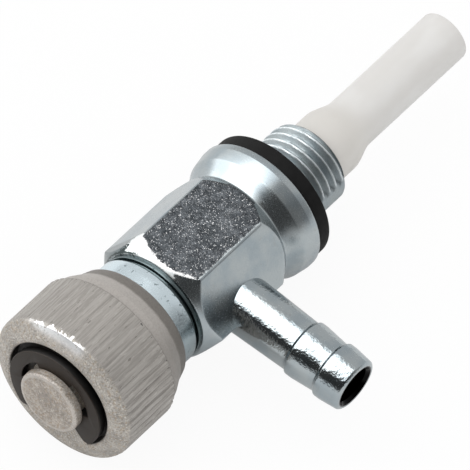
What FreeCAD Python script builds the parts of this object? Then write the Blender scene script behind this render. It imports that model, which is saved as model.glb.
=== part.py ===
"""Screw-down fuel tap: hexagonal valve body with a hose barb, a threaded neck and a translucent stand pipe.

Millimetres. The main axis is X, from the knob at -X to the stand pipe at +X. The hose barb points along -Y.
The origin is on the main axis, in the face of the gasket that the tank presses on.
"""
import FreeCAD, Part
import math
import os

VECTOR = FreeCAD.Vector
MAIN_AXIS = VECTOR(1, 0, 0)
OUTLET_AXIS = VECTOR(0, -1, 0)

# Clearances
running_gap = 0.05
closed_gap = 0.13
ring_gap = 0.03
press_gap = 0.02
seat_gap = 0.05

# Tank side: gasket, flange and thread
gasket_thickness = 2.3
gasket_width = 3.35
gasket_edge = 0.35
flange_radius = 9.75
flange_land = 0.9
flange_edge = 0.2
flange_shoulder_radius = 9.4
flange_shoulder_offset = 2.95
thread_radius = 6.0
thread_length = 7.7
thread_end_chamfer = 0.6
relief_depth = 0.8
gasket_bore_gap = 0.05

# Hexagon of the body
across_flats = 17.0
hex_edge_radius = 0.4
hex_front_offset = 7.5
hex_length = 12.0
waist_radius = 8.15
waist_offset = 5.0
waist_fillet = 0.5
hex_front_cone = 34.0
hex_rear_cone = 41.0
rear_cone_end_radius = 8.1

# Neck behind the hexagon
ring_radius = 7.85
ring_width = 0.55
groove_radius = 7.3
groove_width = 0.65
neck_length = 12.8
neck_edge = 0.5
neck_collar_edge = 0.15

# Passages in the body
spindle_radius = 4.6
chamber_offset = 5.7
seat_height = 0.4
seat_rim_radius = 2.9
passage_radius = 1.9
nipple_socket_depth = 5.2
pipe_socket_depth = 6.3
pipe_radius_on_nipple = 4.6

# Hose barb
outlet_offset = 13.25
outlet_reach = 26.4
outlet_bore_radius = 2.7
outlet_bore_depth = 16.4
outlet_passage_radius = 2.4
stem_root_radius = 4.05
stem_end_radius = 3.65
crest_radius = 4.0
crest_length = 0.9
crest_step = 0.4
valley_radius = 3.65
tip_radius = 3.75
tip_edge = 0.35
first_crest_reach = 17.6
second_crest_reach = 22.3

# Nipple and stand pipe
nipple_radius = 3.3
nipple_bore_radius = 2.0
nipple_reach = 14.9
nipple_taper_start = 10.4
nipple_tip_radius = 2.42
pipe_radius = 3.6
pipe_bore_radius = 2.4
pipe_reach = 34.7
pipe_bulge_end = 11.3
pipe_straight_start = 15.5

# Knob
knurl_radius = 10.95
knurl_depth = 0.28
knurl_count = 56
knurl_flat_share = 0.42
knob_wall = 2.9
front_chamfer_share = 0.69
front_chamfer_length = 1.05
knurl_length = 9.85
knurl_step = 0.25
shoulder_length = 3.25
shoulder_crown = 0.25
collar_start_wall = 1.25
collar_end_wall = 0.65
collar_length = 1.75
collar_edge = 0.3
rim_share = 0.2785
recess_depth = 1.6
recess_edge = 0.25
boss_wall = 1.35
boss_height = 1.05
web_thickness = 1.75

# Spindle and its clip
clip_rim_gap = 0.3
clip_centre_shift = 0.25
clip_thickness = 1.2
clip_groove_depth = 0.7
clip_groove_play = 0.1
clip_pocket_share = 0.43
clip_back_angle = 82.0
clip_pocket_from = 33.0
clip_pocket_to = 90.0
clip_mouth_half_angle = 42.0
clip_round_share = 0.29
land_side_gap = 5.0
nose_length = 1.3
nose_edge = 0.4
thrust_collar_step = 1.4
thrust_collar_thickness = 1.35
stem_radius = 2.6
stem_start_offset = 16.6
valve_head_wall = 0.68
valve_head_length = 2.7
seat_disc_radius = 3.2
seat_disc_thickness = 1.9
seat_disc_proud = 0.85
o_ring_section = 1.24
o_ring_sides = 8
o_ring_groove_width = 1.6
first_o_ring_offset = 20.5
o_ring_spacing = 6.0

# Places along the main axis, worked out from the sizes above
seat_face = -gasket_thickness
waist = seat_face - waist_offset
hex_front = seat_face - hex_front_offset
hex_rear = hex_front - hex_length
corner_radius = across_flats / 2 / math.cos(math.radians(30))
rear_cone_end = hex_rear - (corner_radius - rear_cone_end_radius) / math.tan(math.radians(hex_rear_cone))
ring_end = rear_cone_end - ring_width
groove_end = ring_end - groove_width
neck_end = groove_end - neck_length
valve_seat = seat_face - chamber_offset
pipe_start = thread_length - pipe_socket_depth
nipple_start = pipe_start - nipple_socket_depth
outlet_place = seat_face - outlet_offset

# Thrust collar, knob and clip, one behind the other from the end of the neck
thrust_rear = neck_end - closed_gap
thrust_front = thrust_rear - thrust_collar_thickness
web_inner_face = thrust_front - running_gap
recess_floor = web_inner_face - web_thickness
knob_face = recess_floor - recess_depth
knurl_end = knob_face + knurl_length
shoulder_end = knurl_end + shoulder_length
collar_end = shoulder_end + collar_length
boss_face = recess_floor - boss_height
clip_rear = boss_face - running_gap
clip_front = clip_rear - clip_thickness
spindle_end = clip_front - nose_length

# Radii that go with each other
relief_radius = thread_radius - relief_depth
gasket_bore_radius = thread_radius + gasket_bore_gap
gasket_radius = gasket_bore_radius + gasket_width
spindle_bore_radius = spindle_radius + running_gap
neck_bore_radius = knurl_radius - knob_wall
neck_radius = neck_bore_radius - running_gap
collar_start_radius = neck_bore_radius + collar_start_wall
collar_end_radius = neck_bore_radius + collar_end_wall
rim_wall = knurl_radius * rim_share
front_chamfer_width = rim_wall * front_chamfer_share
recess_radius = knurl_radius - rim_wall
boss_radius = spindle_bore_radius + boss_wall
clip_radius = recess_radius - clip_centre_shift - clip_rim_gap
clip_contact_radius = spindle_radius - clip_groove_depth + press_gap
clip_width = clip_radius - clip_contact_radius
clip_pocket_radius = clip_contact_radius + clip_width * clip_pocket_share
clip_prong_round = clip_width * clip_round_share
disc_pocket_radius = seat_disc_radius + press_gap


def turned(points, axis=MAIN_AXIS, origin=VECTOR(0, 0, 0)):
    """Solid of revolution: points are (distance along the axis, radius), joined by straight lines."""
    side = VECTOR(0, 0, 1)
    corners = [origin + axis * along + side * radius for along, radius in points]
    outline = Part.makePolygon(corners + [corners[0]])
    return Part.Face(outline).revolve(origin, axis, 360)


def cylinder(start, end, radius):
    """Cylinder on the main axis, from start to end."""
    return Part.makeCylinder(radius, end - start, VECTOR(start, 0, 0), MAIN_AXIS)


def sector(start, end, radius, angle_from, angle_to):
    """Part of a cylinder on the main axis, between two angles counted from +Y towards +Z."""
    piece = Part.makeCylinder(radius, end - start, VECTOR(start, 0, 0), MAIN_AXIS, angle_to - angle_from)
    piece.rotate(VECTOR(0, 0, 0), MAIN_AXIS, angle_from - wedge_start_angle())
    return piece


def wedge_start_angle():
    """Angle, from +Y towards +Z, of the first side of a part cylinder on the main axis."""
    wedge = Part.makeCylinder(1, 1, VECTOR(0, 0, 0), MAIN_AXIS, 1)
    place = wedge.CenterOfMass
    return math.degrees(math.atan2(place.z, place.y)) - 0.5


def in_plane(along, radius):
    """Point in the XZ plane."""
    return VECTOR(along, 0, radius)


def rounded_edges(solid, radius, wanted):
    """Fillets the edges for which wanted(edge) is true."""
    return solid.makeFillet(radius, [edge for edge in solid.Edges if wanted(edge)])


def circles_at(along, radius, tolerance=1e-4):
    """Test for full circles round the main axis at one place, with one radius."""
    def test(edge):
        if not isinstance(edge.Curve, Part.Circle):
            return False
        centre = edge.Curve.Center
        on_axis = math.hypot(centre.y, centre.z) < tolerance
        return on_axis and abs(centre.x - along) < tolerance and abs(edge.Curve.Radius - radius) < tolerance
    return test


def hexagon_bar(start, end):
    """Bar with six flats, two of them facing up and down, and softly rounded corners."""
    corners = []
    for k in range(6):
        angle = math.radians(60 * k)
        corners.append(VECTOR(start, corner_radius * math.cos(angle), corner_radius * math.sin(angle)))
    bar = Part.Face(Part.makePolygon(corners + [corners[0]])).extrude(VECTOR(end - start, 0, 0))
    long_edges = [edge for edge in bar.Edges if abs(edge.Length - (end - start)) < 1e-6]
    return bar.makeFillet(hex_edge_radius, long_edges)


def hexagon():
    """The bar between its two turned cones."""
    front_run = (corner_radius - waist_radius) / math.tan(math.radians(hex_front_cone))
    envelope = turned([
        (rear_cone_end, 0),
        (rear_cone_end, rear_cone_end_radius),
        (hex_rear, corner_radius),
        (hex_front, corner_radius),
        (hex_front + front_run, waist_radius),
        (hex_front + front_run, 0),
    ])
    return hexagon_bar(rear_cone_end, hex_front + front_run).common(envelope)


def flange_and_thread():
    """Bell-backed flange, thread relief and the tank thread at its outer diameter."""
    waist_start = hex_front + (corner_radius - waist_radius) / math.tan(math.radians(hex_front_cone))
    solid = turned([
        (waist_start, 0),
        (waist_start, waist_radius),
        (waist, waist_radius),
        (seat_face - flange_shoulder_offset, flange_shoulder_radius),
        (seat_face - flange_land - flange_edge, flange_radius),
        (seat_face - flange_edge, flange_radius),
        (seat_face, flange_radius - flange_edge),
        (seat_face, relief_radius),
        (0, relief_radius),
        (0, thread_radius),
        (thread_length - thread_end_chamfer, thread_radius),
        (thread_length, thread_radius - thread_end_chamfer),
        (thread_length, 0),
    ])
    shoulder = seat_face - flange_shoulder_offset
    return rounded_edges(solid, waist_fillet, circles_at(shoulder, flange_shoulder_radius))


def neck():
    """Ring, groove and the plain land that carries the knob."""
    return turned([
        (neck_end, 0),
        (neck_end, neck_radius - neck_edge),
        (neck_end + neck_edge, neck_radius),
        (groove_end - neck_collar_edge, neck_radius),
        (groove_end, neck_radius - neck_collar_edge),
        (groove_end, groove_radius),
        (ring_end, groove_radius),
        (ring_end, ring_radius),
        (rear_cone_end, ring_radius),
        (rear_cone_end, 0),
    ])


def hose_barb():
    """Stem with two saw-tooth crests that narrow towards the tip."""
    foot = across_flats / 4
    first_top = first_crest_reach + crest_step
    second_top = second_crest_reach + crest_step
    return turned([
        (0, 0),
        (0, stem_root_radius),
        (foot, stem_root_radius),
        (first_crest_reach, stem_end_radius),
        (first_top, crest_radius),
        (first_top + crest_length, crest_radius),
        (second_crest_reach, valley_radius),
        (second_top, crest_radius),
        (second_top + crest_length, crest_radius),
        (outlet_reach - tip_edge, tip_radius),
        (outlet_reach, tip_radius - tip_edge),
        (outlet_reach, 0),
    ], OUTLET_AXIS, VECTOR(outlet_place, 0, 0))


def body_passages():
    """Everything that is bored out of the body."""
    spindle_bore = turned([
        (neck_end - 1, 0),
        (neck_end - 1, spindle_bore_radius),
        (valve_seat + seat_height, spindle_bore_radius),
        (valve_seat + seat_height, seat_rim_radius),
        (valve_seat, seat_rim_radius),
        (valve_seat, 0),
    ])
    passage = cylinder(valve_seat - 1, seat_face, passage_radius)
    nipple_socket = cylinder(nipple_start, thread_length, nipple_radius + press_gap)
    pipe_socket = cylinder(pipe_start, thread_length + 1, pipe_radius_on_nipple + press_gap)
    outlet_bore = turned([
        (0, 0),
        (0, outlet_passage_radius),
        (outlet_reach - outlet_bore_depth, outlet_passage_radius),
        (outlet_reach - outlet_bore_depth, outlet_bore_radius),
        (outlet_reach + 1, outlet_bore_radius),
        (outlet_reach + 1, 0),
    ], OUTLET_AXIS, VECTOR(outlet_place, 0, 0))
    return [spindle_bore, passage, nipple_socket, pipe_socket, outlet_bore]


def valve_body():
    solid = hexagon().fuse([flange_and_thread(), neck(), hose_barb()])
    return solid.cut(body_passages()).removeSplitter()


def inlet_nipple():
    """Turned nipple pressed into the body. The stand pipe is pushed over it."""
    return turned([
        (nipple_start, nipple_bore_radius),
        (nipple_start, nipple_radius),
        (nipple_taper_start, nipple_radius),
        (nipple_reach, nipple_tip_radius),
        (nipple_reach, nipple_bore_radius),
    ])


def stand_pipe():
    """Pipe that swells over the nipple and is straight beyond it."""
    start = pipe_start + press_gap
    stretched_bore = nipple_radius + press_gap
    bulge_end = in_plane(pipe_bulge_end, pipe_radius_on_nipple)
    straight_start = in_plane(pipe_straight_start, pipe_radius)
    swell = Part.BSplineCurve()
    swell.interpolate(
        Points=[bulge_end, straight_start],
        Tangents=[MAIN_AXIS, MAIN_AXIS],
        Scale=False,
    )
    corners = [
        straight_start,
        in_plane(pipe_reach, pipe_radius),
        in_plane(pipe_reach, pipe_bore_radius),
        in_plane(nipple_reach, pipe_bore_radius),
        in_plane(nipple_reach, nipple_tip_radius + press_gap),
        in_plane(nipple_taper_start, stretched_bore),
        in_plane(start, stretched_bore),
        in_plane(start, pipe_radius_on_nipple),
        bulge_end,
    ]
    lines = [Part.makeLine(a, b) for a, b in zip(corners, corners[1:])]
    outline = Part.Wire([swell.toShape()] + lines)
    return Part.Face(outline).revolve(VECTOR(0, 0, 0), MAIN_AXIS, 360)


def tank_gasket():
    """Rubber ring with broken outer edges, clamped between flange and tank."""
    return turned([
        (seat_face, gasket_bore_radius),
        (seat_face, gasket_radius - gasket_edge),
        (seat_face + gasket_edge, gasket_radius),
        (-gasket_edge, gasket_radius),
        (0, gasket_radius - gasket_edge),
        (0, gasket_bore_radius),
    ])


def knurl_section():
    """Closed outline of the knurled rim: a flat crest and a V groove for each ridge."""
    pitch = 2 * math.pi / knurl_count
    flat = pitch * knurl_flat_share
    ridge = [
        (0, knurl_radius),
        (flat, knurl_radius),
        ((flat + pitch) / 2, knurl_radius - knurl_depth),
    ]
    points = []
    for k in range(knurl_count):
        for turn, radius in ridge:
            angle = k * pitch + turn
            points.append(VECTOR(knob_face, radius * math.cos(angle), radius * math.sin(angle)))
    return Part.makePolygon(points + [points[0]])


def knurled_rim():
    """Ridges along the axis, chamfered towards the front face."""
    ridges = Part.Face(knurl_section()).extrude(VECTOR(knurl_end - knob_face, 0, 0))
    envelope = turned([
        (knob_face, 0),
        (knob_face, knurl_radius - front_chamfer_width),
        (knob_face + front_chamfer_length, knurl_radius),
        (knurl_end, knurl_radius),
        (knurl_end, 0),
    ])
    return ridges.common(envelope)


def knob():
    """Knurled rim with a crowned shoulder and a collar behind it, neck bore, and a recess for the clip.

    The recess stops at a land that stands in the clip's mouth and turns the clip with the knob.
    """
    shoulder_radius = knurl_radius - knurl_depth - knurl_step
    rear = turned([
        (recess_floor, 0),
        (recess_floor, shoulder_radius),
        (knurl_end, shoulder_radius),
        ((knurl_end + shoulder_end) / 2, (shoulder_radius + collar_start_radius) / 2 + shoulder_crown),
        (shoulder_end, collar_start_radius),
        (collar_end - collar_edge, collar_end_radius),
        (collar_end, collar_end_radius - collar_edge),
        (collar_end, 0),
    ])
    recess = turned([
        (knob_face - 1, 0),
        (knob_face - 1, recess_radius + recess_edge),
        (knob_face, recess_radius + recess_edge),
        (knob_face + recess_edge, recess_radius),
        (recess_floor, recess_radius),
        (recess_floor, boss_radius),
        (boss_face, boss_radius),
        (boss_face, 0),
    ])
    mouth = clip_back_angle + 180
    land_half_angle = clip_mouth_half_angle - land_side_gap
    land = sector(knob_face, recess_floor, knurl_radius, mouth - land_half_angle, mouth + land_half_angle)
    recess = recess.cut(land)
    web_hole = cylinder(knob_face - 1, web_inner_face + 1, spindle_bore_radius)
    neck_bore = cylinder(web_inner_face, collar_end + 1, neck_bore_radius)
    return knurled_rim().fuse(rear).cut([recess, web_hole, neck_bore]).removeSplitter()


def spindle():
    """Valve spindle: nose, clip groove, thrust collar, two ring grooves, thin stem and cupped valve head."""
    groove_radius = spindle_radius - clip_groove_depth
    groove_front = clip_front - clip_groove_play / 2
    groove_rear = clip_rear + clip_groove_play / 2
    ring_seat = spindle_bore_radius - ring_gap - o_ring_section - ring_gap
    stem_start = seat_face - stem_start_offset
    disc_front = valve_seat - seat_gap
    head_front = disc_front - seat_disc_proud
    head_rear = head_front - valve_head_length
    outline = [
        (spindle_end, 0),
        (spindle_end, spindle_radius - nose_edge),
        (spindle_end + nose_edge, spindle_radius),
        (groove_front, spindle_radius),
        (groove_front, groove_radius),
        (groove_rear, groove_radius),
        (groove_rear, spindle_radius),
        (thrust_front, spindle_radius),
        (thrust_front, spindle_radius + thrust_collar_step),
        (thrust_rear, spindle_radius + thrust_collar_step),
        (thrust_rear, spindle_radius),
    ]
    for place in reversed(o_ring_places()):
        start = place - o_ring_groove_width / 2
        end = place + o_ring_groove_width / 2
        outline += [(start, spindle_radius), (start, ring_seat), (end, ring_seat), (end, spindle_radius)]
    outline += [
        (stem_start, spindle_radius),
        (stem_start, stem_radius),
        (head_rear, stem_radius),
        (head_rear, disc_pocket_radius + valve_head_wall),
        (head_front, disc_pocket_radius + valve_head_wall),
        (head_front, disc_pocket_radius),
        (disc_front - seat_disc_thickness, disc_pocket_radius),
        (disc_front - seat_disc_thickness, 0),
    ]
    return turned(outline)


def o_ring_places():
    """Middle of each ring groove, from the valve end outwards."""
    first = seat_face - first_o_ring_offset
    return [first, first - o_ring_spacing]


def o_ring(place):
    """Ring that rubs on the spindle bore. Its round section is drawn with a few straight sides."""
    half = o_ring_section / 2
    centre_radius = spindle_bore_radius - ring_gap - half
    outline = []
    for k in range(o_ring_sides):
        angle = 2 * math.pi * (k + 0.5) / o_ring_sides
        reach = half / math.cos(math.pi / o_ring_sides)
        outline.append((place + reach * math.cos(angle), centre_radius + reach * math.sin(angle)))
    return turned(outline)


def seat_disc():
    """Rubber disc held in the valve head. It closes on the rim of the seat."""
    disc_front = valve_seat - seat_gap
    return cylinder(disc_front - seat_disc_thickness, disc_front, seat_disc_radius)


def e_clip():
    """Flat spring clip: outer disc, contact bore, two pockets and the mouth it is pushed on by.

    The outer edge is struck from a centre nearer the mouth, so the prongs reach further out than the back.
    """
    mouth = clip_back_angle + 180
    mouth_direction = VECTOR(0, math.cos(math.radians(mouth)), math.sin(math.radians(mouth)))
    centre = VECTOR(clip_front, 0, 0) + mouth_direction * clip_centre_shift
    disc = Part.makeCylinder(clip_radius, clip_thickness, centre, MAIN_AXIS)
    openings = [
        (clip_pocket_radius, clip_back_angle - clip_pocket_to, clip_back_angle - clip_pocket_from),
        (clip_pocket_radius, clip_back_angle + clip_pocket_from, clip_back_angle + clip_pocket_to),
        (2 * clip_radius, mouth - clip_mouth_half_angle, mouth + clip_mouth_half_angle),
    ]
    cutters = [cylinder(clip_front, clip_rear, clip_contact_radius)]
    for radius, angle_from, angle_to in openings:
        cutters.append(sector(clip_front, clip_rear, radius, angle_from, angle_to))
    clip = disc.cut(cutters).removeSplitter()

    def at_prong_end(edge):
        place = edge.CenterOfMass
        along_axis = len(edge.Vertexes) == 2 and abs(edge.Length - clip_thickness) < 1e-6
        return along_axis and math.hypot(place.y, place.z) > clip_pocket_radius + press_gap

    return rounded_edges(clip, clip_prong_round, at_prong_end)


parts = {
    "valve_body": valve_body(),
    "inlet_nipple": inlet_nipple(),
    "stand_pipe": stand_pipe(),
    "tank_gasket": tank_gasket(),
    "knob": knob(),
    "spindle": spindle(),
    "seat_disc": seat_disc(),
    "e_clip": e_clip(),
}
for number, place in enumerate(o_ring_places()):
    parts[("spindle_o_ring_inner", "spindle_o_ring_outer")[number]] = o_ring(place)

os.makedirs("parts", exist_ok=True)
for name, shape in parts.items():
    solids = shape.Solids
    box = shape.BoundBox
    print(name, "solids", len(solids), "valid", shape.isValid(), "volume", round(shape.Volume, 2),
          "x", round(box.XMin, 2), round(box.XMax, 2))
    (solids[0] if len(solids) == 1 else shape).exportStep("parts/" + name + ".step")
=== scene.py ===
"""Looks of the fuel tap: plated body, cast knob and spindle, spring clip, gasket and stand pipe.

Sizes are in millimetres and are turned to metres where a mesh is made. The frame is the part's own.
"""
import math
import bmesh
import bpy
from mathutils import Matrix, Vector, noise


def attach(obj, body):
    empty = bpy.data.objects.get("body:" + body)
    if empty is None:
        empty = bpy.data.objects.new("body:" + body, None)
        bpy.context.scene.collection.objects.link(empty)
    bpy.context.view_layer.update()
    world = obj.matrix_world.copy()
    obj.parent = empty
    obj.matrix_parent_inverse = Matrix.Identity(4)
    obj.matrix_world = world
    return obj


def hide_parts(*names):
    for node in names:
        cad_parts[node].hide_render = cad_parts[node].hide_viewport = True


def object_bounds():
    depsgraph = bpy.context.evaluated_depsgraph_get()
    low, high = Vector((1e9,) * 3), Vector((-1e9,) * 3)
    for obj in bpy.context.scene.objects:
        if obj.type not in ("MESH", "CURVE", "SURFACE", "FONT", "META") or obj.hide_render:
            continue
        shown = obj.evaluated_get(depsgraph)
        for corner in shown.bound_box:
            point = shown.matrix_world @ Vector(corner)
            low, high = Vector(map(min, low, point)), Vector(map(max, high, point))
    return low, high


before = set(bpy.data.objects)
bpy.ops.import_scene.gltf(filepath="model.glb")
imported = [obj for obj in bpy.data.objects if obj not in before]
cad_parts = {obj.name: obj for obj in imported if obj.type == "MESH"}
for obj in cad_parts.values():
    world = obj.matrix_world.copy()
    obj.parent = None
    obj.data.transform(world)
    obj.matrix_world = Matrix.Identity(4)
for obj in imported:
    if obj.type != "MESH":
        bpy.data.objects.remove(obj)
cad_box = [list(corner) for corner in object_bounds()]
MM = 0.001
TURN = 2 * math.pi


# Body: places along the main axis, from the tank's face, and radii

seat_face = -2.3
bell_end = -7.33
hex_front = -9.8
hex_rear = -21.8
rear_cone_end = -23.77
ring_end = -24.32
groove_end = -24.97
neck_end = -37.77
thread_length = 7.7
half_flats = 8.5
corner_radius = half_flats / math.cos(math.radians(30))
corner_round = 0.4
rear_cone_slope = math.radians(41)
flange_radius = 9.75
neck_radius = 8.0
groove_radius = 7.3
ring_radius = 7.85
thread_foot = 5.2
thread_radius = 6.0
thread_pitch = 1.25
thread_depth = 0.62
plain_strip_angle = math.radians(205)
main_bore = 4.65
passage = 1.9
seat_radius = 2.9
nipple_socket = 3.32
pipe_socket = 4.62
socket_floor = 1.4


# Hose barb: distances from the main axis, and radii

outlet_place = seat_face - 13.25
barb_root = 5.5
barb_end = 26.4
barb_shank = 3.96
barb_waist = 3.65
barb_mouth = 3.4
barb_fillet_radius = 4.3
outlet_bore = 2.7
outlet_passage = 2.4


# Knob, spindle and clip

knob_face = -42.65
knob_boss_face = -42.1
ridges_front = -41.1
ridges_rear = -32.8
collar_start = -29.75
knob_rear = -27.8
knob_radius = 10.95
ridge_count = 56
recess_floor = -41.05
recess_radius = 7.9
neck_space_end = -39.3
neck_space_radius = 8.05
mouth_angle = 262.0
land_half_angle = 37.0
spindle_nose = -44.65
clip_groove_front = -43.4
spindle_radius = 4.6
thrust_collar_radius = 6.0
ring_groove_radius = 3.35
ring_groove_width = 1.6
stem_radius = 2.6


# Gasket and pipe

gasket_radius = 9.4
gasket_bore = 6.06
pipe_start = 1.42
pipe_end = 34.7
pipe_radius = 3.6
pipe_bore = 2.4
swelling = 1.0
swelling_end = 11.3
swelling_taper = 4.2


# Node trees

class Wire:
    """An output socket that takes part in Python expressions."""

    def __init__(self, graph, socket):
        self.graph = graph
        self.socket = socket

    def __add__(self, other):
        return self.graph.math("ADD", self, other)

    def __sub__(self, other):
        return self.graph.math("SUBTRACT", self, other)

    def __mul__(self, other):
        return self.graph.math("MULTIPLY", self, other)

    def __truediv__(self, other):
        return self.graph.math("DIVIDE", self, other)

    def __rsub__(self, other):
        return self.graph.math("SUBTRACT", other, self)

    __radd__ = __add__
    __rmul__ = __mul__


class Graph:
    """Builds nodes in one tree."""

    def __init__(self, tree):
        self.tree = tree

    def make(self, kind, inputs=None, **settings):
        """Adds a node. Its settings are set first, then the values or links of its sockets."""
        made = self.tree.nodes.new(kind)
        for name, value in settings.items():
            setattr(made, name, value)
        for key, value in (inputs or {}).items():
            if isinstance(value, Wire):
                self.tree.links.new(value.socket, made.inputs[key])
            else:
                made.inputs[key].default_value = value
        return made

    def node(self, kind, inputs=None, output=0, **settings):
        """Adds a node and returns the wire of one of its outputs."""
        return Wire(self, self.make(kind, inputs, **settings).outputs[output])

    def wires(self, kind, inputs=None):
        """Adds a node and returns the wires of all its named outputs."""
        made = self.make(kind, inputs)
        return {socket.name: Wire(self, socket) for socket in made.outputs if socket.name}

    def math(self, operation, *values):
        return self.node("ShaderNodeMath", dict(enumerate(values)), operation=operation)

    def least(self, a, b):
        return self.math("MINIMUM", a, b)

    def soft_least(self, a, b, soft):
        return self.math("SMOOTH_MIN", a, b, soft)

    def most(self, a, b):
        return self.math("MAXIMUM", a, b)

    def length(self, a, b):
        """Length of the diagonal over a and b."""
        return self.math("SQRT", a * a + b * b)

    def above(self, value, start, end):
        """0 where value is under start, 1 where it is over end, smooth between them."""
        sockets = {0: value, 1: start, 2: end, 3: 0, 4: 1}
        return self.node("ShaderNodeMapRange", sockets, interpolation_type="SMOOTHSTEP")

    def between(self, value, start, end, soft):
        return self.above(value, start - soft, start) * (1 - self.above(value, end, end + soft))

    def mix(self, factor, a, b):
        return self.node("ShaderNodeMix", {0: factor, 6: a, 7: b}, output=2, data_type="RGBA")

    def scaled(self, vector, factor):
        return self.node("ShaderNodeVectorMath", {0: vector, "Scale": factor}, operation="SCALE")

    def parts(self, vector):
        return self.wires("ShaderNodeSeparateXYZ", {0: vector}).values()


def shade(level):
    """A grey or a colour as the photograph's 0 to 255 numbers, made linear."""
    levels = (level,) * 3 if isinstance(level, (int, float)) else level
    return (*[(v / 255) ** 2.2 for v in levels], 1)


class Finish(Graph):
    """A surface material. Its coordinates are the object's own, in millimetres."""

    def __init__(self, name):
        self.material = bpy.data.materials.new(name)
        self.material.use_nodes = True
        super().__init__(self.material.node_tree)
        self.tree.nodes.clear()
        self.place = self.scaled(self.node("ShaderNodeTexCoord", output="Object"), 1 / MM)
        self.x, self.y, self.z = self.parts(self.place)
        self.colour = None

    def noise(self, scale, detail=3, rough=0.5, stretch=None):
        place = self.place
        if stretch:
            place = self.node("ShaderNodeVectorMath", {0: place, 1: stretch}, operation="MULTIPLY")
        sockets = {"Vector": place, "Scale": scale, "Detail": detail, "Roughness": rough}
        return self.node("ShaderNodeTexNoise", sockets)

    def tone(self, mask, level, other):
        """A colour between two shades."""
        return self.mix(mask, shade(level), shade(other))

    def paint(self, mask, colour):
        """Lays a shade or another wire's colour over what is there."""
        over = colour if isinstance(colour, Wire) else shade(colour)
        self.colour = self.mix(mask, self.colour, over)

    def bump(self, height, depth):
        return self.node("ShaderNodeBump", {"Height": height, "Strength": 1.0, "Distance": depth * MM})

    def finish(self, **sockets):
        inputs = {name.replace("_", " "): value for name, value in sockets.items()}
        shader = self.node("ShaderNodeBsdfPrincipled", {"Base Color": self.colour, **inputs})
        self.make("ShaderNodeOutputMaterial", {0: shader})
        return self.material


# Zinc plate of the body, which differs from place to place

class Zinc(Finish):
    """Bright plate: two greys, warm clouds and dark pits."""

    def __init__(self, name, roughness, pits=0.0):
        super().__init__(name)
        self.grain = self.noise(3.2, 3, 0.6)
        self.fine = self.noise(11, 2, 0.6)
        self.ripple = self.grain + self.fine * 0.15
        cloud = self.above(self.noise(0.35, 2), 0.35, 0.7)
        warm = self.above(self.noise(1.1, 4, 0.65), 0.62, 0.75)
        spots = self.above(self.noise(6.5, 2), 0.66, 0.72)
        self.colour = self.tone(cloud, (172, 179, 181), (158, 168, 173))
        self.paint(warm * 0.5, (150, 149, 143))
        self.paint(spots * pits, 50)
        self.rough = roughness + (self.grain - 0.5) * 0.12 + spots * 0.2

    def plated(self, height):
        """height is the surface's unevenness in millimetres."""
        return self.finish(Metallic=1.0, Roughness=self.rough, Normal=self.bump(height, 1.0))


def zinc_body():
    """Hexagon, bell and flange. The rear cone has a burr painted near white as a highlight, a patch beyond it
    painted darker as shade, and painted shadow lines along the burr's edge and at the cone's foot.
    """
    m = Zinc("zinc_body", 0.25)
    torn = m.noise(1.3, 4, 0.7) - 0.5
    cone = m.between(m.x, rear_cone_end + 0.17, hex_rear + 0.4, 0.3)
    across = m.y + torn * 2.5
    far = m.above(across, 5.8, 6.1)
    burr = m.above(m.y + torn * 5, -2.6, -1.6) * (1 - far) * cone * m.above(m.z, 3.6, 4.6)
    burr_edge_shadow = m.between(across, 5.9, 6.2, 0.12) * m.between(m.x, rear_cone_end + 0.07, hex_rear - 0.4, 0.2)
    foot = m.x + (m.grain - 0.5) * 0.5
    under = m.between(foot, rear_cone_end + 0.05, rear_cone_end + 0.19, 0.06) * m.above(m.y, 3, 4.5)
    # Painted shade: the rear cone beyond the burr is coloured darker.
    m.paint(cone * far, (118, 127, 129))
    # Painted highlight: the burr is coloured near white.
    m.paint(burr, (236, 240, 240))
    # Painted shadow lines: along the burr's far edge and at the cone's foot next to the ring.
    m.paint(m.most(burr_edge_shadow, under), (70, 78, 78))
    m.rough = m.rough + burr * 0.25
    return m.plated(m.ripple * 0.0028)


def zinc_barb():
    """Barb with a smooth, lumpy plate on its upper side, and its bore painted dark as shade."""
    m = Zinc("zinc_barb", 0.11, pits=0.2)
    from_outlet = m.length(m.x - outlet_place, m.z)
    in_bore = (1 - m.above(from_outlet, 3.1, 3.2)) * (1 - m.above(m.y, -20, -19))
    # Painted shade: the inside of the bore is coloured near black.
    m.paint(in_bore, 26)
    lumps = m.noise(2.4, 2, 0.55) * m.above(m.z, 0.2, 2.2)
    return m.plated(m.ripple * 0.004 + lumps * 0.048)


def zinc_neck():
    """Neck and the ring next to the hexagon: a pale ground painted lighter than the plate as sheen, nicked,
    with painted shade in the groove and on the barb side.
    """
    m = Zinc("zinc_neck", 0.24)
    nicks = m.above(m.noise(0.9, 4, 0.7), 0.60, 0.66)
    barb_side = 1 - m.above(m.y + (m.grain - 0.5) * 2, -6.6, -4.8)
    along = m.x + (m.grain - 0.5) * 0.2
    groove = m.between(along, groove_end - 0.08, rear_cone_end + 0.05, 0.06)
    # Painted sheen: the ground is a lighter copy of the plate. The nicks are darker.
    m.colour = m.tone(nicks * 0.8, (216, 230, 236), (98, 112, 116))
    # Painted shade: the neck is darker towards the barb side.
    m.paint(barb_side * 0.6, (96, 108, 110))
    # Painted shade in the groove.
    m.paint(groove * 0.85, (52, 66, 66))
    return m.plated(m.ripple * 0.006)


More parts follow.
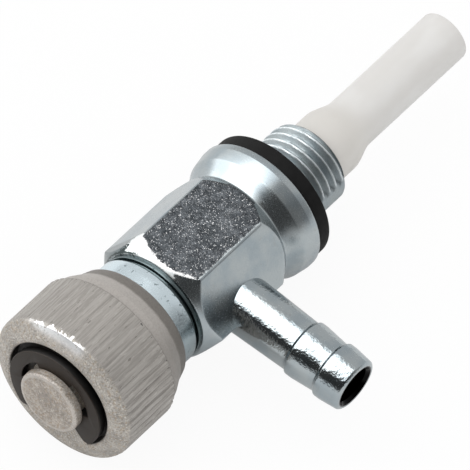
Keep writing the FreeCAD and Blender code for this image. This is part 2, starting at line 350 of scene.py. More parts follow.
def zinc_thread():
    """Matt flanks, crests painted bright as highlights apart from the plain strip, and the end painted dark
    as shade.
    """
    m = Zinc("zinc_thread", 0.5, pits=0.5)
    radius = m.length(m.y, m.z)
    strip_y = math.cos(plain_strip_angle)
    strip_z = math.sin(plain_strip_angle)
    towards_strip = m.above((m.y * strip_y + m.z * strip_z) / radius, 0.68, 0.76)
    crest = m.above(radius + (m.grain - 0.5) * 0.3, thread_radius - 0.12, thread_radius - 0.03)
    end = m.above(m.x, thread_length - 0.35, thread_length - 0.15)
    m.paint(m.above(m.fine, 0.5, 0.62) * 0.45, (112, 120, 122))
    # Painted highlight on the crests.
    m.paint(crest * (1 - towards_strip) * 0.75, (232, 238, 240))
    # Painted shade at the thread's end.
    m.paint(end * 0.75, (78, 84, 86))
    return m.plated(m.ripple * 0.014)


def zinc_forged_flat():
    """The body's rough upper flat: dark and uneven, with bright grains painted as glints, and its ragged rear
    edge and a side edge painted light as highlights.
    """
    m = Finish("zinc_forged_flat")
    lumps = m.noise(1.6, 4, 0.65)
    grains = m.noise(5, 3, 0.7)
    cloud = m.above(m.noise(0.5, 3, 0.6), 0.42, 0.6)
    bright = m.above(m.noise(5.5, 3, 0.65), 0.60, 0.66)
    rear_edge = hex_rear - (corner_radius - m.length(m.y, half_flats)) / math.tan(rear_cone_slope)
    torn = 1 - m.above(m.x - rear_edge - (lumps - 0.42) * 2.2, 0.0, 0.18)
    side_edge = 1 - m.above(m.y - (lumps - 0.5) * 0.9, -4.72, -4.5)
    m.colour = m.tone(m.above(lumps, 0.3, 0.7), (60, 63, 66), (104, 108, 112))
    m.paint(m.above(grains, 0.56, 0.66) * 0.6, (52, 55, 60))
    m.paint(cloud * 0.5, (54, 58, 61))
    # Painted glints on the bright grains.
    m.paint(bright * 0.85, 235)
    # Painted highlights on the ragged rear edge and on the side edge.
    m.paint(torn, 215)
    m.paint(side_edge * 0.8, (196, 204, 206))
    normal = m.bump(lumps * 0.7 + grains * 0.6, 0.11)
    return m.finish(Metallic=0.95, Roughness=0.34 - bright * 0.1, Normal=normal)


# Castings

class Cast(Finish):
    """Die casting with salt and pepper grain, warm and grey, on a ground of the given colour."""

    def __init__(self, name, ground, strength):
        super().__init__(name)
        self.grain = self.noise(4.2, 3, 0.7)
        red, green, blue = ground
        cloud = self.above(self.noise(0.5, 2), 0.3, 0.7)
        warm = self.above(self.noise(2.2, 3, 0.7), 0.5, 0.62)
        pepper = self.above(self.grain, 0.52, 0.62)
        salt = 1 - self.above(self.grain, 0.34, 0.44)
        self.colour = self.tone(cloud, ground, tuple(v * 0.86 for v in ground))
        self.paint(warm * 0.55, (red * 0.9, green * 0.82, blue * 0.72))
        self.paint(pepper * strength, tuple(v * 0.6 for v in ground))
        self.paint(salt * strength, (230, 226, 218))
        self.rough = 0.5 + (self.grain - 0.5) * 0.2


def cast_knob():
    """Grainy face, streaked ridges, a rim worn smooth and painted near white as a highlight, a lighter
    shoulder and a darker collar.
    """
    m = Cast("cast_knob", (174, 169, 162), 0.55)
    coarse = m.above(m.grain, 0.4, 0.7) * 0.5

    draw = m.noise(3.6, 4, 0.65, stretch=(0.05, 1, 1))
    side = m.tone(m.above(draw, 0.42, 0.60) * 0.55, (164, 160, 155), (112, 108, 103))
    streaks = 1 - m.above(m.noise(4.5, 2, 0.6, stretch=(0.12, 1, 1)), 0.32, 0.40)
    side = m.mix(streaks * 0.7, side, shade((184, 181, 176)))
    dashes = m.above(m.noise(2.8, 2, 0.6, stretch=(0.3, 1, 1)), 0.69, 0.71)
    side = m.mix(dashes * 0.75, side, shade((72, 66, 60)))
    # Painted shade: the upper side of the ridges is darker.
    side = m.mix(m.above(m.z, 4, 9) * 0.4, side, shade((132, 128, 123)))
    on_side = m.above(m.x, ridges_front - 0.5, ridges_front - 0.1)
    m.paint(on_side, side)

    shoulder = m.above(m.x, ridges_rear, ridges_rear + 0.06)
    m.paint(shoulder, m.tone(coarse, (166, 161, 156), (138, 133, 128)))
    collar = m.above(m.x + (m.noise(1.0, 2) - 0.5) * 0.3, collar_start - 0.15, collar_start + 0.35)
    m.paint(collar, m.tone(coarse, (112, 108, 103), (90, 86, 82)))
    # Painted shade on the -Y side behind the ridges.
    lower = m.above(m.x, ridges_rear, ridges_rear + 0.1) * (1 - m.above(m.y, -8.5, -4))
    m.paint(lower * 0.4, (112, 108, 103))
    m.paint(m.between(m.x, ridges_rear - 0.07, ridges_rear + 0.04, 0.04) * 0.55, (84, 80, 76))
    marks = m.above(m.noise(1.7, 2), 0.66, 0.69)
    m.paint(marks * m.between(m.x, ridges_rear - 0.35, ridges_rear + 0.05, 0.1), 38)

    torn = (m.noise(2.2, 3, 0.7) - 0.5) * 1.2
    scallop = (m.noise(1.6, 2, 0.6) - 0.5) * 2.6
    worn = m.above(m.x + torn * 0.4, ridges_front - 1.4, ridges_front - 0.65)
    worn = worn * (1 - m.above(m.x + scallop, ridges_front - 0.5, ridges_front - 0.25))
    worn = worn * m.above(m.z + torn * 2, 8.0, 9.6)
    worn = worn * m.above(m.y + torn * 1.5, -2.8, -0.8)
    # The rim is worn smooth, more metallic and less rough, and its near-white colour is a painted highlight.
    m.paint(worn, (236, 237, 238))

    # Painted shade in the recess round the clip.
    recess = 1 - m.above(m.length(m.y, m.z), recess_radius + 0.2, recess_radius + 0.3)
    recess = recess * m.above(m.x, knob_face + 0.03, knob_face + 0.25)
    recess = recess * (1 - m.above(m.x, recess_floor + 1.05, recess_floor + 1.15))
    m.paint(recess * 0.9, (30, 27, 25))

    shine = 0.18 + worn * 0.7 - recess * 0.18
    normal = m.bump(m.grain * 0.7 + draw * 0.4 * on_side, 0.03)
    return m.finish(Metallic=shine, Roughness=m.rough - worn * 0.16, Normal=normal)


def cast_spindle():
    """Grainy casting. The nose has a faint swirl and an edge painted light, both wear and a painted
    highlight.
    """
    m = Cast("cast_spindle", (172, 164, 155), 0.5)
    radius = m.length(m.y, m.z)
    nose = 1 - m.above(m.x, spindle_nose + 0.05, spindle_nose + 0.1)
    middle = 1 - m.above(radius, 1.8, 2.6)
    swirl = m.above(m.math("SINE", radius * 7 + m.noise(0.9, 2) * 7), 0.2, 0.9)
    m.paint(swirl * nose * middle * 0.35, (120, 112, 106))
    rubbed_edge_highlight = m.between(radius + (m.grain - 0.5) * 0.9, 4.1, 4.5, 0.12)
    rubbed_edge_highlight = rubbed_edge_highlight * (1 - m.above(m.x, spindle_nose + 0.25, spindle_nose + 0.45))
    # Painted highlight on the nose's edge, which is also worn.
    m.paint(rubbed_edge_highlight * 0.4, (205, 200, 195))
    return m.finish(Metallic=0.25, Roughness=m.rough, Normal=m.bump(m.grain, 0.035))


# Clip, rubber, pipe and nipple

def clip_oxide():
    """Brown-black oxide on spring steel. Behind its front face it is painted near black as shade."""
    m = Finish("clip_oxide")
    grain = m.noise(2.5, 4, 0.6)
    behind = m.above(m.x, clip_groove_front + 0.1, clip_groove_front + 0.3)
    m.colour = m.tone(m.above(grain, 0.3, 0.7), (34, 27, 20), (44, 36, 28))
    # Painted shade behind the front face.
    m.paint(behind * 0.9, 8)
    normal = m.bump(m.noise(6, 2), 0.006)
    return m.finish(Metallic=0.3, Roughness=0.5 + (grain - 0.5) * 0.2, Normal=normal)


def black_rubber():
    m = Finish("black_rubber")
    black = 17
    m.colour = m.tone(m.above(m.noise(0.8, 3), 0.35, 0.7), black, black * 1.35)
    return m.finish(Roughness=0.7, Specular_IOR_Level=0.2, Normal=m.bump(m.noise(7, 3, 0.6), 0.012))


def milky_plastic():
    """Cloudy pipe that lets a little of the background through. It is painted greyer over the nipple as shade
    from the nipple inside.
    """
    m = Finish("milky_pipe")
    cloud = m.above(m.noise(0.22, 2, stretch=(0.4, 1, 1)), 0.35, 0.65)
    over_nipple = 1 - m.above(m.x, 12, 18)
    m.colour = m.tone(cloud, (224, 223, 221), (217, 215, 212))
    # Painted shade where the nipple lies inside.
    m.paint(over_nipple, (212, 209, 204))
    drawn = m.noise(1.2, 3, stretch=(0.3, 1, 1))
    return m.finish(Roughness=0.42, Alpha=0.86, Normal=m.bump(drawn, 0.01))


def turned_brass():
    m = Finish("turned_brass")
    rings = m.noise(6, 2, stretch=(1, 0.02, 0.02))
    m.colour = m.tone(rings, (214, 178, 120), (190, 150, 96))
    return m.finish(Metallic=1.0, Roughness=0.28, Normal=m.bump(rings, 0.01))


FINISH = {
    "body": zinc_body(),
    "barb": zinc_barb(),
    "neck": zinc_neck(),
    "thread": zinc_thread(),
    "forged": zinc_forged_flat(),
    "knob": cast_knob(),
    "spindle": cast_spindle(),
    "clip": clip_oxide(),
    "rubber": black_rubber(),
    "pipe": milky_plastic(),
    "brass": turned_brass(),
}


# Meshes

def rounded_corner(before, here, after, rounding, arc_step):
    """Points on the curve that takes the place of a corner."""
    back = before - here
    on = after - here
    angle = back.angle(on)
    reach = min(rounding / math.tan(angle / 2), back.length * 0.49, on.length * 0.49)
    start = here + back.normalized() * reach
    end = here + on.normalized() * reach
    parts = max(2, round((math.pi - angle) * rounding / arc_step))
    shares = [j / parts for j in range(parts + 1)]
    return [start * (1 - t) ** 2 + here * 2 * t * (1 - t) + end * t ** 2 for t in shares]


def rounded_path(corners, step=1.0, arc_step=0.12):
    """Points along corners (along, radius, rounding).

    Straight runs are divided into pieces of about step, a number or a function of the run's two ends.
    """
    points = []
    for k, corner in enumerate(corners):
        here = Vector(corner[:2])
        rounding = corner[2] if len(corner) > 2 else 0
        if not rounding or k in (0, len(corners) - 1):
            points.append(here)
        else:
            before = Vector(corners[k - 1][:2])
            after = Vector(corners[k + 1][:2])
            points += rounded_corner(before, here, after, rounding, arc_step)
    spaced = [points[0]]
    for a, b in zip(points, points[1:]):
        span = (b - a).length
        if span < 1e-6:
            continue
        longest = step(a, b) if callable(step) else step
        parts = max(1, math.ceil(span / longest - 1e-6))
        spaced += [a.lerp(b, j / parts) for j in range(1, parts + 1)]
    return spaced


def even_angles(count):
    return [TURN * k / count for k in range(count)]


def turned_mesh(name, path, angles, closed=False, radius_of=None, along_of=None):
    """Surface of revolution about X. A closed path comes back to its start; an open one ends on the axis.

    radius_of and along_of move a point of the path, from its place along the axis, its radius and its angle.
    """
    bm = bmesh.new()
    rings = []
    for along, radius in path:
        if radius < 1e-5:
            rings.append([bm.verts.new((along * MM, 0, 0))] * len(angles))
            continue
        ring = []
        for angle in angles:
            r = radius_of(along, radius, angle) if radius_of else radius
            x = along_of(along, radius, angle) if along_of else along
            ring.append(bm.verts.new((x * MM, r * math.cos(angle) * MM, r * math.sin(angle) * MM)))
        rings.append(ring)
    pairs = list(zip(rings, rings[1:]))
    if closed:
        pairs.append((rings[-1], rings[0]))
    for low, high in pairs:
        for k in range(len(angles)):
            n = (k + 1) % len(angles)
            corners = []
            for vertex in (low[k], low[n], high[n], high[k]):
                if vertex not in corners:
                    corners.append(vertex)
            if len(corners) > 2:
                bm.faces.new(corners)
    bmesh.ops.remove_doubles(bm, verts=bm.verts, dist=1e-7)
    bmesh.ops.recalc_face_normals(bm, faces=bm.faces)
    mesh = bpy.data.meshes.new(name)
    bm.to_mesh(mesh)
    bm.free()
    return linked(name, mesh)


def linked(name, data):
    made = bpy.data.objects.new(name, data)
    bpy.context.scene.collection.objects.link(made)
    return made


def settle(made):
    """Turns an object with modifiers into a plain mesh."""
    bpy.context.view_layer.update()
    seen = made.evaluated_get(bpy.context.evaluated_depsgraph_get())
    mesh = bpy.data.meshes.new_from_object(seen)
    made.modifiers.clear()
    made.data = mesh


def smooth(made, degrees):
    """Shades faces smooth, with a sharp edge where they turn by more than this."""
    made.data.polygons.foreach_set("use_smooth", [True] * len(made.data.polygons))
    made.data.set_sharp_from_angle(angle=math.radians(degrees))


def dress(made, *finishes):
    made.data.materials.clear()
    for finish in finishes:
        made.data.materials.append(FINISH[finish])


def place(made, body, slot, node):
    """Puts a finished piece on its body in place of its solid."""
    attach(made, body)
    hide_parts(node)


def turn_to_outlet(made):
    """Turns a mesh made along X so that it runs along -Y from the outlet's place."""
    matrix = Matrix.Translation((outlet_place * MM, 0, 0)) @ Matrix.Rotation(-math.pi / 2, 4, "Z")
    made.data.transform(matrix)


def join_solid(made, other, operation):
    """Adds or takes away a closed solid."""
    modifier = made.modifiers.new(operation, "BOOLEAN")
    modifier.operation = operation
    modifier.solver = "EXACT"
    modifier.object = other
    settle(made)
    bpy.data.objects.remove(other)


# Ridges and thread: node trees that cut a turned surface

def cutter(name, sizes, new_radius, zone):
    """Node tree that moves points of a turned surface towards the axis.

    sizes are its named inputs. new_radius gives the wanted radius, from the graph, the inputs and the point's
    place, radius and angle. zone tells where the cut is made, from the graph, the place and the radius.
    """
    tree = bpy.data.node_groups.new(name, "GeometryNodeTree")
    tree.is_modifier = True
    tree.interface.new_socket("Geometry", in_out="INPUT", socket_type="NodeSocketGeometry")
    for label, value in sizes.items():
        socket = tree.interface.new_socket(label, in_out="INPUT", socket_type="NodeSocketFloat")
        socket.default_value = value
    finish = tree.interface.new_socket("Finish", in_out="INPUT", socket_type="NodeSocketMaterial")
    tree.interface.new_socket("Geometry", in_out="OUTPUT", socket_type="NodeSocketGeometry")
    g = Graph(tree)
    entry = g.wires("NodeGroupInput")
    x, y, z = g.parts(g.scaled(g.node("GeometryNodeInputPosition"), 1 / MM))
    radius = g.length(y, z)
    angle = g.math("ARCTAN2", z, y)
    share = g.least(new_radius(g, entry, x, angle), radius) / g.most(radius, 0.001)
    moved = g.node("ShaderNodeCombineXYZ", {0: x * MM, 1: y * share * MM, 2: z * share * MM})
    shaped = g.node("GeometryNodeSetPosition", {
        "Geometry": entry["Geometry"],
        "Selection": zone(g, x, radius),
        "Position": moved,
    })
    real = g.node("GeometryNodeRealizeInstances", {"Geometry": shaped})
    painted = g.node("GeometryNodeSetMaterial", {"Geometry": real, "Material": entry["Finish"]})
    g.make("NodeGroupOutput", {0: painted})
    return tree, finish.identifier


def cut(made, name, sizes, new_radius, zone, finish):
    tree, identifier = cutter(name, sizes, new_radius, zone)
    modifier = made.modifiers.new(name, "NODES")
    modifier.node_group = tree
    modifier[identifier] = FINISH[finish]
    settle(made)


def thread_shape(g, sizes, x, angle):
    """Vee thread with a narrow crest and a rounded root. It fades to a plain strip on its lower side."""
    turn = g.math("FRACT", x / sizes["Pitch"] - angle / TURN + 8)
    vee = g.math("ABSOLUTE", turn - 0.5) * 2
    crest = g.most(g.soft_least(vee * 1.18 - 0.06, 1, 0.12), 0)
    plain = g.above(g.math("COSINE", angle - plain_strip_angle), 0.70, 0.80)
    return thread_radius - sizes["Depth"] * (1 - crest) * (1 - plain)


def thread_zone(g, x, radius):
    return g.math("GREATER_THAN", radius, thread_foot + 0.05) * g.math("GREATER_THAN", x, 0.02)


def ridge_shape(g, sizes, x, angle):
    """Ridge with a broad worn crest. Each ridge differs a little from the next."""
    turn = angle / TURN * sizes["Ridges"] + 100
    wave = g.math("ABSOLUTE", g.math("FRACT", turn) - 0.5) * 2
    number = g.math("FLOOR", turn + 0.5)
    odd = g.node("ShaderNodeTexWhiteNoise", {"W": number}, noise_dimensions="1D")
    groove = g.most(1 - wave * 2.0, 0)
    worn = g.above(g.math("SINE", angle), 0.3, 0.9) * sizes["Wear"]
    deep = sizes["Depth"] * (1 - odd * sizes["Unevenness"]) * (1 - worn)
    return knob_radius - deep * groove


def ridge_zone(g, x, radius):
    return g.math("GREATER_THAN", radius, knob_radius - 0.75) * g.math("LESS_THAN", x, ridges_rear + 0.01)


# Body

def hexagon_radius(angle):
    """Distance from the axis to the hexagon, with rounded corners. The corners lie at 0, 60, 120 degrees."""
    off = (angle + TURN / 12) % (TURN / 6) - TURN / 12
    centre = (half_flats - corner_round) / math.cos(math.radians(30))
    limit = math.atan2(corner_round * 0.5, centre + corner_round * math.cos(math.radians(30)))
    if abs(off) < limit:
        return centre * math.cos(off) + math.sqrt(corner_round ** 2 - (centre * math.sin(off)) ** 2)
    return half_flats / math.cos(TURN / 12 - abs(off))


def soft_least(a, b, soft):
    h = max(soft - abs(a - b), 0) / soft
    return min(a, b) - h * h * h * soft / 6


def limited(share):
    return min(1, max(0, share))


def body_radius(along, radius, angle):
    """The turned radius, cut by the hexagon, with the rough relief of the upper flat."""
    if radius < groove_radius - 0.1 or along < rear_cone_end or along > bell_end - 0.07:
        return radius
    r = soft_least(radius, hexagon_radius(angle), 0.28)
    across = r * math.cos(angle)
    if math.sin(angle) > 0.85 and r < radius - 0.02:
        inside = limited((4.5 - abs(across)) / 0.5) * limited((radius - r) / 0.25)
        spot = Vector((along, across, 0))
        rough = noise.fractal(spot * 1.1, 0.8, 2.1, 4) * 0.6 + noise.noise(spot * 5) * 0.35
        r += inside * (rough * 0.035 - 0.03)
    return r


def body_angles():
    """Angles round the body, close together at the corners and over the rough flat."""
    near_corner = (0, 0.35, 0.7, 1.05, 1.4, 1.9, 2.6, 3.8, 5.4)
    first = near_corner[-1]
    rough_flat = 1
    found = set()
    for k in range(6):
        corner = 60 * k
        for off in near_corner:
            found.update({(corner + off) % 360, (corner - off) % 360})
        steps = 68 if k == rough_flat else 20
        for j in range(steps + 1):
            found.add(round(corner + first + (60 - 2 * first) * j / steps, 4) % 360)
    ordered = sorted(round(a, 3) for a in found)
    kept = [ordered[0]]
    for a in ordered[1:]:
        if a - kept[-1] > 0.1:
            kept.append(a)
    return [math.radians(a) for a in kept]


def body_step(a, b):
    """Longest piece of a straight run: short on the thread and the hexagon."""
    middle = (a.x + b.x) / 2
    outer = min(a.y, b.y) > thread_foot
    if outer and 0 < middle < thread_length:
        return 0.09
    if outer and rear_cone_end < middle < bell_end + 0.03:
        return 0.17
    return 1.2


def body_outline():
    """Half section of the turned body, from the bore's end at the neck round to the same point."""
    outside = [
        (neck_end, neck_radius, 0.4),
        (groove_end, neck_radius, 0.12),
        (groove_end, groove_radius, 0.1),
        (ring_end, groove_radius, 0.1),
        (ring_end, ring_radius, 0.1),
        (rear_cone_end, ring_radius),
        (rear_cone_end, ring_radius + 0.25, 0.12),
        (hex_rear, corner_radius, 0.1),
        (hex_front, corner_radius, 0.1),
        (bell_end, 8.15, 0.35),
        (-5.25, 9.42, 0.9),
        (-3.35, flange_radius, 0.3),
        (seat_face - 0.2, flange_radius, 0.12),
        (seat_face, flange_radius - 0.15, 0.05),
        (seat_face, thread_foot),
        (0.0, thread_foot),
        (0.0, thread_radius),
        (thread_length - 0.6, thread_radius),
        (thread_length, thread_radius - 0.6, 0.08),
    ]
    sockets = [
        (thread_length, pipe_socket),
        (socket_floor, pipe_socket),
        (socket_floor, nipple_socket),
        (-3.8, nipple_socket),
    ]
    seat = [
        (-3.8, passage),
        (-8.0, passage),
        (-8.0, seat_radius),
        (-7.6, seat_radius),
        (-7.6, main_bore),
    ]
    neck_mouth = (neck_end, main_bore)
    return [neck_mouth, *outside, *sockets, *seat, neck_mouth]


def hose_barb():
    outline = [
        (barb_root, 0),
        (barb_root, barb_shank),
        (17.6, barb_waist, 0.12),
        (18.0, 3.98, 0.2),
        (18.9, 3.98, 0.5),
        (22.3, barb_waist, 0.15),
        (22.7, 4.0, 0.2),
        (23.6, 4.0, 0.5),
        (barb_end - 0.25, 3.72, 0.3),
        (barb_end, barb_mouth, 0.15),
        (barb_end, 0),
    ]
    barb = turned_mesh("barb", rounded_path(outline, 0.6, 0.06), even_angles(120))
    turn_to_outlet(barb)
    return barb


def barb_bore():
    """The space in the barb, from the main bore out past its mouth."""
    outline = [
        (2, 0),
        (2, outlet_passage),
        (10, outlet_passage),
        (10, outlet_bore),
        (barb_end - 0.5, outlet_bore),
        (barb_end + 0.2, outlet_bore + 0.45),
        (barb_end + 0.6, outlet_bore + 0.45),
        (barb_end + 0.6, 0),
    ]
    bore = turned_mesh("bore", outline, even_angles(64))
    turn_to_outlet(bore)
    return bore


BODY_FINISHES = ("body", "barb", "neck", "thread", "forged")


def body_finish(face):
    """Which of the body's finishes a face has, from its place."""
    x, y, z = face.center / MM
    near_barb = y < -5 and math.hypot(x - outlet_place, z) < barb_fillet_radius
    outside_flats = y < -corner_radius - 0.035
    if near_barb and (outside_flats or abs(face.normal.y) < 0.45):
        return "barb"
    if x < rear_cone_end:
        return "neck"
    if x > seat_face + 0.05:
        return "thread"
    on_rough_flat = z > 8.0 and abs(y) < 4.75 and face.normal.z > 0.8
    if on_rough_flat and hex_rear - 1.6 < x < bell_end - 0.17:
        return "forged"
    return "body"


def valve_body():
    path = rounded_path(body_outline(), body_step)[:-1]
    made = turned_mesh("valve_body_plated", path, body_angles(), closed=True, radius_of=body_radius)
    thread_sizes = {"Pitch": thread_pitch, "Depth": thread_depth}
    cut(made, "tank_thread", thread_sizes, thread_shape, thread_zone, "body")
    join_solid(made, hose_barb(), "UNION")
    join_solid(made, barb_bore(), "DIFFERENCE")
    smooth(made, 32)
    dress(made, *BODY_FINISHES)
    for face in made.data.polygons:
        face.material_index = BODY_FINISHES.index(body_finish(face))
    place(made, "tap_body", "zinc_plate", "valve_body")


# Knob, spindle and clip

def knob_step(a, b):
    """Longest piece of a straight run: short on the ridges."""
    return 0.4 if min(a.y, b.y) > knob_radius - 0.35 else 1.0


def with_land(along, radius, angle):
    """Place along the axis, with the recess filled up to the face in the mouth of the clip."""
    off = abs((math.degrees(angle) - mouth_angle + 180) % 360 - 180)
    in_recess = knob_face < along < recess_floor + 0.05 and radius < recess_radius + 0.3
    if off > land_half_angle or not in_recess:
        return along
    return knob_face + 0.02


def knob():
    outline = [
        (neck_space_end, main_bore),
        (knob_boss_face, main_bore, 0.08),
        (knob_boss_face, thrust_collar_radius, 0.08),
        (recess_floor, thrust_collar_radius, 0.1),
        (recess_floor, recess_radius, 0.15),
        (knob_face + 0.15, recess_radius, 0.3),
        (knob_face, recess_radius + 0.25, 0.15),
        (knob_face, 8.85, 0.5),
        (ridges_front - 0.6, knob_radius - 0.25, 0.3),
        (ridges_front, knob_radius, 0.5),
        (ridges_rear, knob_radius, 0.12),
        (ridges_rear + 0.02, knob_radius - 0.45, 0.1),
        (-31.4, 10.25, 0.6),
        (collar_start, 9.35, 0.35),
        (knob_rear - 0.3, 8.8, 0.2),
        (knob_rear, 8.55, 0.12),
        (knob_rear, neck_space_radius, 0.08),
        (neck_space_end, neck_space_radius),
        (neck_space_end, main_bore),
    ]
    path = rounded_path(outline, knob_step, 0.1)[:-1]
    made = turned_mesh("knob_cast", path, even_angles(ridge_count * 10), closed=True, along_of=with_land)
    ridge_sizes = {"Ridges": ridge_count, "Depth": 0.34, "Unevenness": 0.5, "Wear": 0.7}
    cut(made, "knob_ridges", ridge_sizes, ridge_shape, ridge_zone, "knob")
    smooth(made, 40)
    place(made, "knob", "cast_alloy", "knob")


def spindle_outline():
    """Half section of the spindle, from the middle of the nose to the middle of the seat disc's space."""
    nose = [
        (spindle_nose, 0),
        (spindle_nose, spindle_radius, 0.45),
        (clip_groove_front, spindle_radius, 0.05),
        (clip_groove_front, 3.9),
        (knob_boss_face, 3.9),
        (knob_boss_face, spindle_radius),
    ]
    thrust_collar = [
        (-39.25, spindle_radius),
        (-39.25, thrust_collar_radius),
        (-37.9, thrust_collar_radius),
        (-37.9, spindle_radius),
    ]
    ring_grooves = []
    for start in (-29.6, -23.6):
        end = start + ring_groove_width
        ring_grooves += [
            (start, spindle_radius),
            (start, ring_groove_radius),
            (end, ring_groove_radius),
            (end, spindle_radius),
        ]
    stem_and_head = [
        (-18.9, spindle_radius),
        (-18.9, stem_radius),
        (-11.6, stem_radius),
        (-11.6, 3.9),
        (-8.9, 3.9),
        (-8.9, 3.22),
        (-9.95, 3.22),
        (-9.95, 0),
    ]
    return nose + thrust_collar + ring_grooves + stem_and_head


def rough_nose(along, radius, angle):
    """Radius with the unevenness of the cast nose in front of the clip."""
    if along > clip_groove_front - 0.1:
        return radius
    spot = Vector((along, radius * math.cos(angle), radius * math.sin(angle)))
    return radius + noise.noise(spot * 0.9) * 0.07 + noise.noise(spot * 3) * 0.03


def spindle_step(a, b):
    """Longest piece of a straight run: short on the nose."""
    return 0.3 if max(a.x, b.x) < clip_groove_front + 0.1 else 1.5


def spindle():
    path = rounded_path(spindle_outline(), spindle_step, 0.1)
    made = turned_mesh("spindle_cast", path, even_angles(96), radius_of=rough_nose)
    smooth(made, 40)
    dress(made, "spindle")
    place(made, "valve", "cast_alloy", "spindle")


def e_clip():
    """The clip's own solid, with its edges rounded."""
    made = linked("e_clip_oxide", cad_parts["e_clip"].data.copy())
    bm = bmesh.new()
    bm.from_mesh(made.data)
    bmesh.ops.remove_doubles(bm, verts=bm.verts, dist=0.004 * MM)
    bmesh.ops.dissolve_limit(bm, angle_limit=math.radians(1), verts=bm.verts, edges=bm.edges)
    bm.to_mesh(made.data)
    bm.free()
    rounding = made.modifiers.new("rounding", "BEVEL")
    rounding.width = 0.1 * MM
    rounding.segments = 3
    rounding.angle_limit = math.radians(50)
    settle(made)
    smooth(made, 35)
    dress(made, "clip")
    place(made, "knob", "clip_steel", "e_clip")


# Gasket, pipe and the pieces inside

def tank_gasket():
    outline = [
        (seat_face, gasket_bore),
        (seat_face, gasket_radius, 0.35),
        (0.0, gasket_radius, 0.35),
        (0.0, gasket_bore),
        (seat_face, gasket_bore),
    ]
    path = rounded_path(outline, 0.8, 0.08)[:-1]
    made = turned_mesh("tank_gasket_rubber", path, even_angles(128), closed=True)
    smooth(made, 50)
    dress(made, "rubber")
    place(made, "tap_body", "rubber", "tank_gasket")


def taper(steps=12):
    """Smooth change from the swollen end to the pipe's own radius."""
    points = []
    for k in range(steps + 1):
        t = k / steps
        ease = t * t * (3 - 2 * t)
        points.append((swelling_end + swelling_taper * t, pipe_radius + swelling - ease * swelling))
    return points


def stand_pipe():
    outline = [
        (pipe_start, nipple_socket),
        (pipe_start, pipe_radius + swelling),
        *taper(),
        (pipe_end, pipe_radius, 0.12),
        (pipe_end, pipe_bore, 0.1),
        (14.9, pipe_bore),
        (14.9, pipe_bore + 0.05),
        (10.4, nipple_socket),
        (pipe_start, nipple_socket),
    ]
    path = rounded_path(outline, 1.0, 0.08)[:-1]
    made = turned_mesh("stand_pipe_milky", path, even_angles(96), closed=True)
    smooth(made, 40)
    dress(made, "pipe")
    place(made, "tap_body", "pipe_plastic", "stand_pipe")


valve_body()
knob()
spindle()
e_clip()
tank_gasket()
stand_pipe()
dress(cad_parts["inlet_nipple"], "brass")
for inner_rubber in ("seat_disc", "spindle_o_ring_inner", "spindle_o_ring_outer"):
    dress(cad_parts[inner_rubber], "rubber")


# Floor, light and camera

def floor():
    """White to the camera and through the pipe, pale and matt where it is in shadow."""
    level = cad_box[0][2] - 0.0001
    reach = 1.5
    mesh = bpy.data.meshes.new("floor")
    corners = [(-reach, -reach, level), (reach, -reach, level), (reach, reach, level), (-reach, reach, level)]
    mesh.from_pydata(corners, [], [(0, 1, 2, 3)])
    material = bpy.data.materials.new("floor_white")
    material.use_nodes = True
    g = Graph(material.node_tree)
    g.tree.nodes.clear()
    rays = g.wires("ShaderNodeLightPath")
    seen = g.most(rays["Is Camera Ray"] * 0.93, rays["Is Transmission Ray"] * 0.9)
    seen = g.most(seen, rays["Is Glossy Ray"] * 0.08)
    matt = g.node("ShaderNodeBsdfDiffuse", {"Color": (0.82, 0.82, 0.82, 1)})
    white = g.node("ShaderNodeEmission", {"Color": (1, 1, 1, 1), "Strength": 1.0})
    above = g.node("ShaderNodeMixShader", {0: seen, 1: matt, 2: white})
    clear = g.node("ShaderNodeBsdfTransparent")
    from_below = g.node("ShaderNodeNewGeometry", output="Backfacing")
    both_sides = g.node("ShaderNodeMixShader", {0: from_below, 1: above, 2: clear})
    g.make("ShaderNodeOutputMaterial", {0: both_sides})
    mesh.materials.append(material)
    linked("floor", mesh)


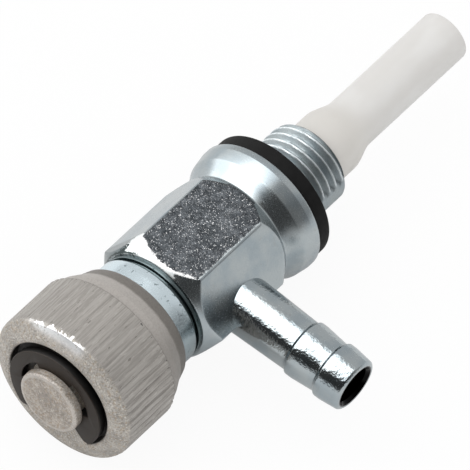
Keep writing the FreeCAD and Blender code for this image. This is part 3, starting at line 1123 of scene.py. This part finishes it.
def studio():
    """White to the camera. Metal sees a white card over the +Y half and a dark room over the rest."""
    world = bpy.data.worlds.new("studio")
    world.use_nodes = True
    bpy.context.scene.world = world
    g = Graph(world.node_tree)
    g.tree.nodes.clear()
    x, y, z = g.parts(g.node("ShaderNodeTexCoord", output="Generated"))
    card = g.above(y + x * 0.3, -0.22, 0.02) * g.above(x, -0.73, -0.60)
    card = card * (1 - g.above(x, 0.12, 0.42) * 0.8)
    side = g.above(x, -0.3, 0.2) * 0.32 + g.above(x, 0.25, 0.42) * 0.35
    side = side * (1 - g.above(0 - y, 0.5, 0.8) * 0.5)
    horizon = 1 - g.above(z, 0.03, 0.2)
    level = 0.05 + g.most(card * 2.5, g.most(side, horizon * 0.5))

    def light(strength):
        return g.node("ShaderNodeBackground", {"Color": (1, 1, 1, 1), "Strength": strength})

    rays = g.wires("ShaderNodeLightPath")
    plain = g.node("ShaderNodeMixShader", {0: rays["Is Camera Ray"], 1: light(0.93), 2: light(1.0)})
    room = g.node("ShaderNodeMixShader", {0: rays["Is Glossy Ray"], 1: plain, 2: light(level)})
    g.make("ShaderNodeOutputWorld", {0: room})


def key_lamp():
    light = bpy.data.lights.new("key", "AREA")
    light.size = 0.6
    light.energy = 1.1
    made = linked("key", light)
    made.location = Vector((-120, 220, 450)) * MM
    made.rotation_euler = (-made.location).to_track_quat("-Z", "Y").to_euler()


def camera():
    """A long lens, so that the view is nearly parallel, turned as the photograph was taken."""
    picture_width = 470
    points_to_a_millimetre = 7.875
    aim_right = -3.365
    aim_up = -3.759
    right = Vector((0.6348, -0.7649, 0.1090)).normalized()
    back = Vector((-0.5003, -0.2995, 0.8123)).normalized()
    up = back.cross(right).normalized()
    right = up.cross(back)
    data = bpy.data.cameras.new("photograph")
    data.lens = 1200
    data.sensor_width = 36
    data.clip_start = 0.1
    data.clip_end = 10
    distance = data.lens / data.sensor_width * picture_width / points_to_a_millimetre
    target = Vector((seat_face, 0, 0)) + right * aim_right + up * aim_up
    made = linked("photograph", data)
    turn = Matrix((right, up, back)).transposed().to_4x4()
    made.matrix_world = Matrix.Translation((target + back * distance) * MM) @ turn
    bpy.context.scene.camera = made


floor()
studio()
key_lamp()
camera()
bpy.context.scene.view_settings.view_transform = "Standard"
